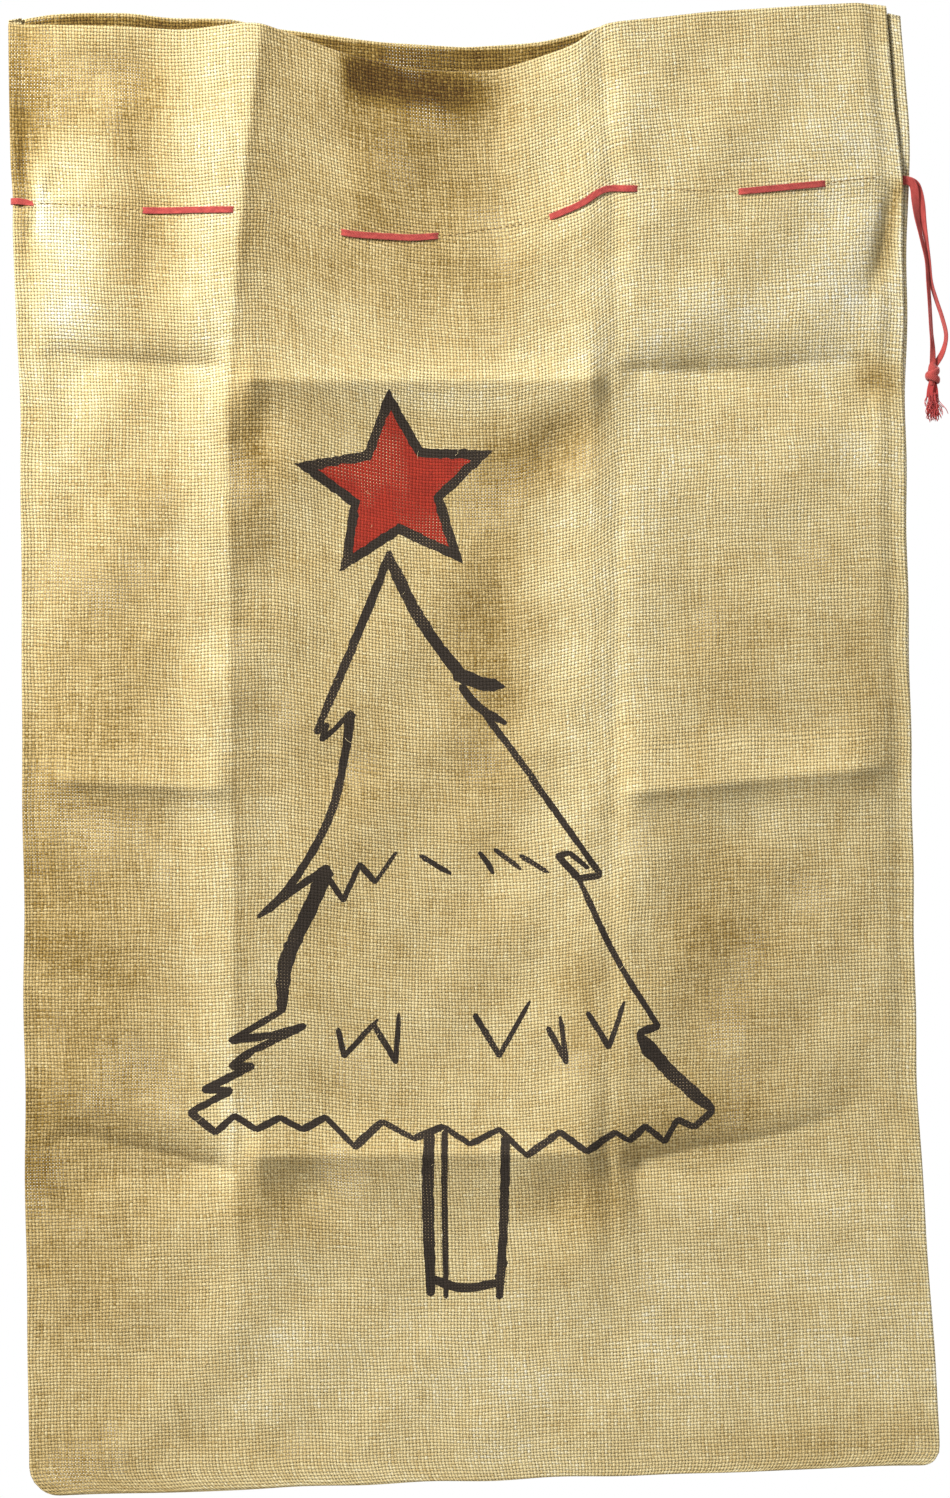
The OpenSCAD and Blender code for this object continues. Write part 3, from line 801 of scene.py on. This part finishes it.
def add_tassel():
    """The tape's two cut ends below the knot, frayed into loose threads."""
    rng = np.random.default_rng(5)
    top = np.array([0.302, 0.0, -0.2500])
    parts = []
    for x, y, lean in ((-1.0, -0.8, -0.6), (1.0, 0.8, 0.5)):
        tail = [top + MM * np.array([x * 0.4, y, 0]), top + MM * np.array([x + lean, y, -5]),
                top + MM * np.array([x + 2 * lean, y, -10.5])]
        parts.append(sweep(smooth_path(tail, 5), tape_section(4.2 * MM, TAPE_T), (1, 0, 0)))
    for _ in range(110):
        start = top + MM * np.array([rng.uniform(-2.6, 2.6), rng.uniform(-1.4, 1.4),
                                     rng.uniform(-10, -7)])
        fall = rng.uniform(9, 17)
        spread = np.array([rng.normal(0.9, 2.3), rng.normal(0, 1.8)])
        curl = rng.normal(0, 1.0, (2, 3)) * [1, 1, 0.3]
        path = [start, start + MM * (np.array([*(spread * 0.3), -fall * 0.4]) + curl[0]),
                start + MM * (np.array([*(spread * 0.8), -fall * 0.75]) + curl[1]),
                start + MM * np.array([*(spread * 1.2), -fall])]
        parts.append(sweep(smooth_path(path, 3), round_section(0.28 * MM, 4), (0.3, 1, 0.1),
                           [1.0] * 9 + [0.6]))
    return add_swept("drawstring_frayed_end", parts, FRAY)


def tape_points(side, x, dashes):
    """The tape's centreline at those X: outside the cloth on its dashes, inside the hem elsewhere."""
    drop = np.full_like(x, TAPE_DROP)
    for _ in range(3):
        left, right = left_x(drop), right_x(drop, side)
        u = np.clip((x - left) / (right - left), 0, 1)
        drop = tape_line(u) if side == FRONT else np.full_like(x, TAPE_DROP)
    face = stand_off(side, u, drop)
    lift = TAPE_T / 2 + TAPE_GAP
    outside = sum(smoothstep(x, low - 0.003, low + 0.003) * (1 - smoothstep(x, high - 0.003, high + 0.003))
                  for low, high in dashes)
    y = (face + lift) * outside + (face - 2 * RIM_ROLL - lift) * (1 - outside)
    return np.column_stack([x, side * y, height_at(side, u, drop)])


def add_tape_run():
    """The tape from the seam gap through the front, round the left edge and back through the back."""
    edge = float(left_x(np.array(TAPE_DROP + 0.003)))
    edge_z = float(height_at(FRONT, 0.0, tape_line(0.0)))
    front_x = np.arange(0.2320, -0.2985, -0.002)
    back_x = np.arange(-0.2980, 0.2240, 0.002)
    wrap = [[edge + 0.0035, -SEAM_T - 0.0012, edge_z], [edge + 0.0003, -SEAM_T, edge_z],
            [edge - 0.0009, 0, edge_z], [edge + 0.0003, SEAM_T, edge_z],
            [edge + 0.0035, SEAM_T + 0.0012, edge_z]]
    path = np.vstack([[[RUN_END, -TAPE_T / 2, BEND[2]]], tape_points(FRONT, front_x, FRONT_DASHES),
                      smooth_path(wrap, 4), tape_points(BACK, back_x, BACK_DASHES),
                      [[RUN_END, TAPE_T / 2, BEND[2]]]])
    return add_swept("drawstring_threaded_run", [sweep(path, tape_section(*GATHERED), (0, 0, 1))], TAPE)


def add_stub():
    """Both ends of the tape lying together in the seam gap."""
    parts = []
    for y in (-TAPE_T / 2, TAPE_T / 2):
        path = [[RUN_END + k * 0.006, y, BEND[2]] for k in range(9)]
        parts.append(sweep(smooth_path(path, 2), tape_section(TAPE_W, TAPE_T * 0.96), (0, 0, 1)))
    return add_swept("drawstring_seam_stub", parts, TAPE)


# ---- The print: a plain five-pointed star over a plain fir tree, as if brushed on ----

INK = np.random.default_rng(3)


def resampled(points, step=0.003):
    """A polyline with a point every step or so."""
    p = np.asarray(points, float)
    length = np.concatenate([[0], np.cumsum(np.linalg.norm(np.diff(p, axis=0), axis=1))])
    at = np.linspace(0, length[-1], max(3, int(length[-1] / step) + 1))
    return np.column_stack([np.interp(at, length, p[:, i]) for i in range(2)])


def brush(points, width, start=0.7, end=0.5):
    """Outline of one brush stroke along the points, in millimetres."""
    line = MM * np.array(points, float)
    line = resampled(smooth_path(line, 8) if len(line) > 2 else line)
    tangent = unit(np.gradient(line, axis=0))
    normal = np.column_stack([-tangent[:, 1], tangent[:, 0]])
    share = np.linspace(0, 1, len(line))
    half = MM * width / 2 * np.interp(share, [0, 0.15, 0.8, 1], [start, 1, 0.95, end])
    edges = []
    for sign in (1, -1):
        rough = 1 + INK.normal(0, 0.07, len(line))
        edges.append(line + sign * normal * (half * rough)[:, None])
    tip_start = line[:1] - tangent[:1] * half[0] * 0.8
    tip_end = line[-1:] + tangent[-1:] * half[-1] * 0.8
    return np.vstack([tip_start, edges[0], tip_end, edges[1][::-1]])


def zigzag(points, width):
    """Straight strokes from point to point."""
    return [brush([a, b], width * INK.uniform(0.8, 1.2), 0.85, 0.8)
            for a, b in zip(points[:-1], points[1:])]


def fringe(start, end, teeth, depth, width):
    """A zigzag from start to end whose teeth hang down."""
    a, b = np.array(start, float), np.array(end, float)
    points = [a]
    for k in range(1, 2 * teeth):
        at = a + (b - a) * k / (2 * teeth)
        down = depth * INK.uniform(0.6, 1.2) if k % 2 else 0.0
        points.append(at + [INK.uniform(-2, 2), -down + INK.uniform(-1, 1)])
    return zigzag(points + [b], width)


def star_outline(centre, radius, waist, turn, squash):
    """Corners of a five-pointed star, anticlockwise."""
    angle = np.radians(turn) + np.arange(10) * math.pi / 5 + math.pi / 2
    reach = np.where(np.arange(10) % 2 == 0, radius, radius * waist)
    return np.column_stack([centre[0] + reach * np.cos(angle), centre[1] + squash * reach * np.sin(angle)])


def inset(polygon, distance):
    """A polygon, anticlockwise, moved inwards by that distance all round."""
    edge = unit(np.roll(polygon, -1, axis=0) - polygon)
    normal = np.column_stack([-edge[:, 1], edge[:, 0]])
    before = np.roll(normal, 1, axis=0)
    bend = 1 + (normal * before).sum(1, keepdims=True)
    return polygon + distance * (normal + before) / bend


def hand_drawn(polygon, roughness):
    """The polygon's outline with points between its corners, a little uneven."""
    closed = np.vstack([polygon, polygon[:1]])
    sides = [resampled(closed[i:i + 2])[:-1] for i in range(len(polygon))]
    outline = np.vstack(sides)
    return outline + INK.normal(0, roughness, outline.shape)


def star():
    """(outline, filling) of the star."""
    corners = star_outline((-0.0520, -0.3210), 0.0690, 0.47, 4, 0.95)
    filling = inset(corners, 0.0062)
    return hand_drawn(corners, 0.0003), hand_drawn(filling, 0.0004)


def fir_tree():
    """Outlines of the tree's brush strokes."""
    strokes = [
        brush([[-56, -364], [-72, -405], [-104, -482]], 6.0, 0.8, 0.7),
        brush([[-57, -366], [-36, -408], [-8, -446]], 8.0, 0.7, 1.1),
        brush([[-12, -443], [2, -449], [19, -452]], 9.0, 1.0, 0.25),
        brush([[-9, -452], [3, -466], [20, -476]], 6.0, 0.9, 0.5),
        brush([[2, -464], [40, -515], [82, -574]], 4.6, 0.9, 0.9),
        brush([[-82, -470], [-86, -500], [-97, -540], [-120, -580], [-142, -602]], 5.6, 1.3, 0.5),
        brush([[-142, -602], [-118, -584], [-97, -570]], 5.0, 0.6, 1.2),
        brush([[-98, -572], [-108, -596], [-124, -632], [-127, -664]], 10.0, 1.1, 0.6),
        brush([[68, -577], [92, -628], [120, -674]], 4.2, 0.8, 0.9),
        brush([[108, -680], [128, -704], [156, -729]], 9.0, 0.5, 0.6),
        brush([[-30, -746], [-31, -790], [-29, -851]], 8.0, 0.9, 0.7),
        brush([[-20, -744], [-20, -790], [-19, -853]], 4.2, 1.0, 0.8),
        brush([[20, -748], [19, -800], [16, -853]], 6.2, 1.0, 0.8),
        brush([[-29, -841], [-8, -847], [18, -843]], 6.4, 0.8, 0.8),
        brush([[14, -840], [21, -830]], 3.2, 1.0, 0.6),
    ]
    strokes += zigzag([[-104, -482], [-97, -477], [-101, -487], [-92, -480], [-84, -471]], 4.0)
    strokes += zigzag([[82, -575], [68, -577], [54, -562], [62, -560], [74, -570]], 4.4)
    strokes += fringe([-98, -574], [-52, -560], 2, 20, 3.6)
    for x, z, dx, dz in ((-36, -562, 20, -12), (3, -560, 9, -14), (13, -558, 17, -13), (30, -562, 18, -11)):
        strokes.append(brush([[x, z], [x + dx / 2 + 1.5, z + dz / 2 - 1], [x + dx, z + dz]], 3.6))
    for x, z, left, right, depth in ((-86, -694, 4, 22, 24), (-52, -698, 14, 2, 32), (16, -694, 16, 20, 36),
                                     (60, -698, 12, -4, 30), (88, -688, 14, 10, 30)):
        strokes.append(brush([[x - left, z + depth * 0.75], [x, z]], 4.2, 0.8, 0.9))
        strokes.append(brush([[x, z], [x + right, z + depth]], 3.6, 0.9, 0.5))
    strokes += zigzag([[-127, -664], [-160, -683], [-134, -680], [-112, -674], [-146, -690], [-160, -700],
                       [-146, -700], [-178, -716], [-160, -716], [-187, -731]], 5.0)
    strokes += zigzag([[120, -674], [108, -678], [112, -692], [128, -704]], 5.0)
    strokes += fringe([-187, -731], [-98, -734], 3, 11, 4.6)
    strokes += fringe([-98, -734], [16, -742], 3, 15, 4.6)
    strokes += fringe([16, -742], [92, -744], 2, 16, 4.6)
    strokes += fringe([92, -744], [156, -730], 3, 12, 4.6)
    return strokes


def on_pattern(outline):
    """An outline drawn where it shows on the hung sack, moved to the front panel's flat pattern."""
    s, t = pattern_point(outline[:, 0], outline[:, 1])
    return np.column_stack([s, t])


def covered(points, polygon):
    """Which points lie inside the polygon."""
    x, y = points.T
    inside = np.zeros(len(points), bool)
    for (ax, ay), (bx, by) in zip(polygon, np.roll(polygon, -1, axis=0)):
        crosses = (ay > y) != (by > y)
        at = ax + (y - ay) * (bx - ax) / (by - ay if by != ay else 1.0)
        inside ^= crosses & (x < at)
    return inside


# ---- Cloth pieces ----

def lines(length, near, fine):
    """Positions of the pattern's grid lines: near the edges they follow the roll of the cloth, and they are
    closer together in the fine bands. The near edge is turned in by that much, the far one by ALLOWANCE."""
    roll = [-0.0019, -0.0013, -0.0007, 0.0, 0.0007, 0.0013, 0.0019, 0.0030]
    turned = [-near, -near * 0.6, -0.0035]
    if near == HEM:
        turned = list(-np.linspace(near, 0.004, int(near / GRID)))
    far = [length + 0.0035, length + ALLOWANCE * 0.6, length + ALLOWANCE] + [length - e for e in roll]
    middle = list(np.linspace(0.0045, length - 0.0045, int(length / GRID)))
    for low, high in fine:
        middle = [at for at in middle if not low - FINE < at < high + FINE]
        middle += list(np.arange(low, high, FINE))
    return np.array(sorted(turned + roll + middle + far))


def rows_and_columns(drawn, s_lines, t_lines):
    """The part of the grid that holds all that is drawn: its first and last row, first and last column."""
    points = np.vstack(drawn)
    low, high = points.min(0) - 2 * GRID, points.max(0) + 2 * GRID
    return *np.searchsorted(t_lines, [low[1], high[1]]), *np.searchsorted(s_lines, [low[0], high[0]])


def grid_squares(s_lines, t_lines, index, patch):
    """The grid's squares, apart from the patch and the corners that are cut off the turned-in cloth."""
    r0, r1, c0, c1 = patch
    squares = []
    for r in range(len(t_lines) - 1):
        for c in range(len(s_lines) - 1):
            hem_corner = t_lines[r] < 0 and not 0.011 <= s_lines[c] <= SACK_W - 0.016
            foot_corner = t_lines[r] >= SACK_H and not 0.02 <= s_lines[c] <= SACK_W - 0.02
            in_patch = r0 <= r < r1 and c0 <= c < c1
            if not (hem_corner or foot_corner or in_patch):
                squares.append((index[r, c], index[r + 1, c], index[r + 1, c + 1], index[r, c + 1]))
    return squares


def printed_patch(s_lines, t_lines, index, patch, drawn):
    """The part of the grid that carries the print, cut along all that is drawn.
    Returns (new points, triangles). The new points are numbered on from the grid's."""
    r0, r1, c0, c1 = patch
    known = index[r0:r1 + 1, c0:c1 + 1]
    points = [Vector((s, -t)) for t in t_lines[r0:r1 + 1] for s in s_lines[c0:c1 + 1]]
    local = np.arange(known.size).reshape(known.shape)
    border = np.concatenate([local[0], local[1:, -1], local[-1, -2::-1], local[-2:0:-1, 0]])
    edges = [(int(a), int(b)) for a, b in zip(border, np.roll(border, -1))]
    for outline in drawn:
        start = len(points)
        points += [Vector((s, -t)) for s, t in outline]
        edges += [(start + i, start + (i + 1) % len(outline)) for i in range(len(outline))]
    found, _, triangles, origins, _, _ = delaunay_2d_cdt(points, edges, [], 0, 1e-7)
    new_points, numbers = [], []
    for point, origin in zip(found, origins):
        on_grid = [known.flat[k] for k in origin if k < known.size]
        if on_grid:
            numbers.append(on_grid[0])
        else:
            numbers.append(index.size + len(new_points))
            new_points.append((point.x, -point.y))
    return np.array(new_points), [tuple(numbers[i] for i in triangle) for triangle in triangles]


def ink_at(points, outlines, fillings):
    """What the front is covered with at each point: 0 bare cloth, 1 black ink, 2 red ink."""
    ink = np.zeros(len(points), int)
    for polygon, number in [(p, 1) for p in outlines] + [(p, 2) for p in fillings]:
        near = ((points >= polygon.min(0)) & (points <= polygon.max(0))).all(1)
        ink[np.flatnonzero(near)[covered(points[near], polygon)]] = number
    return ink.tolist()


def add_cloth(name, side, outlines=(), fillings=()):
    """One panel of jute, from its hem inside the mouth round the rim and down to its turned-in seams."""
    s_lines = lines(SACK_W, ALLOWANCE, FINE_COLUMNS)
    t_lines = lines(SACK_H, HEM, FINE_ROWS)
    index = np.arange(len(t_lines) * len(s_lines)).reshape(len(t_lines), len(s_lines))
    flat = np.stack(np.meshgrid(s_lines, t_lines), axis=-1).reshape(-1, 2)
    drawn = [*outlines, *fillings]
    patch = rows_and_columns(drawn, s_lines, t_lines) if drawn else (0, 0, 0, 0)
    faces = grid_squares(s_lines, t_lines, index, patch)
    slots = [0] * len(faces)
    if drawn:
        new_points, triangles = printed_patch(s_lines, t_lines, index, patch, drawn)
        flat = np.vstack([flat, new_points])
        faces += triangles
        slots += ink_at(flat[np.array(triangles)].mean(1), outlines, fillings)
    if side == BACK:
        faces = [face[::-1] for face in faces]
    used = np.unique(np.concatenate(faces))
    renumber = np.zeros(len(flat), int)
    renumber[used] = np.arange(len(used))
    faces = [tuple(renumber[list(face)].tolist()) for face in faces]
    s, t = flat[used].T
    tone = tone_and_painted_light(side, np.clip(s / SACK_W, 0, 1), np.abs(t), np.maximum(-t, 0))
    materials = [JUTE, BLACK_INK, RED_INK] if drawn else [JUTE]
    cloth = add_mesh(name, place(side, s, t), faces, materials, flat[used], tone, slots)
    thick = cloth.modifiers.new("thickness", "SOLIDIFY")
    thick.thickness = CLOTH_T
    thick.offset = -1
    return cloth


# ---- Sewing ----

def add_hem_stitches(name, side):
    """Running stitches through the panel and its hem, along the threaded line."""
    count = int(SACK_W * 0.94 / STITCH)
    parts = []
    for i in range(count):
        u = 0.03 + 0.94 * (i + np.array([0.0, 0.1, 0.35, 0.6, 0.7])) / count
        drop = tape_line(u) if side == FRONT else np.full_like(u, TAPE_DROP)
        left, right = left_x(drop), right_x(drop, side)
        sink = np.array([-1.0, 0.4, 0.7, 0.4, -1.0]) * STITCH_R
        y = side * (stand_off(side, u, drop) + sink)
        path = np.column_stack([left + u * (right - left), y, height_at(side, u, drop)])
        parts.append(sweep(path, round_section(STITCH_R, 5), (0, 0, 1)))
    return add_swept(name, parts, THREAD)


def side_seam_path(x_of, low, high, u):
    """Zigzag of thread in the groove between the two panels' rolled edges."""
    count = int((high - low) / STITCH)
    drop = np.linspace(low, high, count)
    y = np.where(np.arange(count) % 2 == 0, -1.0, 1.0) * 0.0011
    return np.column_stack([x_of(drop), y, height_at(BACK, np.full(count, u), drop)])


def add_seam_stitches():
    """Threads of the three seams."""
    foot = SACK_H - CORNER_LEFT - 0.004
    left = [side_seam_path(lambda d: left_x(d) + 0.0016, 0.004, foot, 0.0)]
    right = [side_seam_path(lambda d: right_x(d, FRONT) - 0.0012, low, high, 1.0)
             for low, high in ((0.004, TAPE_DROP - 0.007), (TAPE_DROP + 0.008, foot))]
    count = int(SACK_W * 0.92 / STITCH)
    u = np.linspace(0.04, 0.96, count)
    drop = np.full(count, SACK_H - 0.0016)
    x = left_x(drop - 0.02) + u * (right_x(drop - 0.02, BACK) - left_x(drop - 0.02))
    y = np.where(np.arange(count) % 2 == 0, -1.0, 1.0) * 0.0011
    bottom = [np.column_stack([x, y, height_at(BACK, u, drop)])]
    for name, paths, node, wide in (("left_seam_stitches", left, "left_seam_thread", (1, 0, 0)),
                                    ("right_seam_stitches", right, "right_seam_thread", (1, 0, 0)),
                                    ("bottom_seam_stitches", bottom, "bottom_seam_thread", (0, 0, 1))):
        parts = [sweep(path, round_section(STITCH_R, 5), wide) for path in paths]
        declare(add_swept(name, parts, THREAD), "sack", "sewing_thread", node)


def add_fuzz(count=280):
    """Loose jute fibres standing out of the cloth, front and back."""
    rng = np.random.default_rng(17)
    parts = []
    for i in range(count):
        side = FRONT if i % 4 else BACK
        u, drop = rng.uniform(0.03, 0.97), rng.uniform(0.02, SACK_H - 0.03)
        length = rng.uniform(0.003, 0.009)
        heading = rng.uniform(0, 2 * math.pi)
        steps = np.linspace(0, 1, 5)
        bend = heading + rng.normal(0, 1.1) * steps
        s = u * SACK_W + length * np.cumsum(np.cos(bend)) / 5
        t = drop + length * np.cumsum(np.sin(bend)) / 5
        rise = side * np.array([0, 0.3, 0.6, 0.7, 0.5]) * rng.uniform(0.4, 1.5) * MM
        path = place(side, s, t)
        path[:, 1] += rise
        parts.append(sweep(path, round_section(rng.uniform(0.05, 0.11) * MM, 3), (0.2, 1, 0.3)))
    declare(add_swept("jute_fuzz", parts, FIBRE), "sack", "jute_cloth")


def build():
    """Everything, camera and cords first."""
    add_camera()
    left_strand, left_path = add_strand("drawstring_left_tape", LEFT_ROUTE, -0.0007, 52)
    right_strand, right_path = add_strand("drawstring_right_tape", RIGHT_ROUTE, 0.0007, -56)
    knot, tassel = add_knot(), add_tassel()
    for piece, path, node in ((left_strand, left_path, "drawstring_left_strand"),
                              (right_strand, right_path, "drawstring_right_strand")):
        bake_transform(piece)
        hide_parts(node)
    declare(knot, "knot_end", "cotton_tape", "drawstring_knot")
    declare(tassel, "knot_end", "cotton_tape", "drawstring_tassel")
    declare(add_tape_run(), "sack", "cotton_tape", "drawstring_run")
    declare(add_stub(), "pull_end", "cotton_tape", "drawstring_stub")

    star_line, star_fill = star()
    outlines = [on_pattern(star_line)] + [on_pattern(stroke) for stroke in fir_tree()]
    front = add_cloth("front_cloth", FRONT, outlines, [on_pattern(star_fill)])
    back = add_cloth("back_cloth", BACK)
    for cloth, nodes in ((front, ("front_panel", "front_hem")), (back, ("back_panel", "back_hem"))):
        declare(cloth, "sack", "jute_cloth", *nodes)

    declare(add_hem_stitches("front_hem_stitches", FRONT), "sack", "sewing_thread", "front_hem_thread")
    declare(add_hem_stitches("back_hem_stitches", BACK), "sack", "sewing_thread", "back_hem_thread")
    add_seam_stitches()
    add_fuzz()

    add_floor()
    add_world()
    for light in LIGHTS:
        add_light(*light)
    bpy.context.scene.view_settings.view_transform = "Standard"


build()
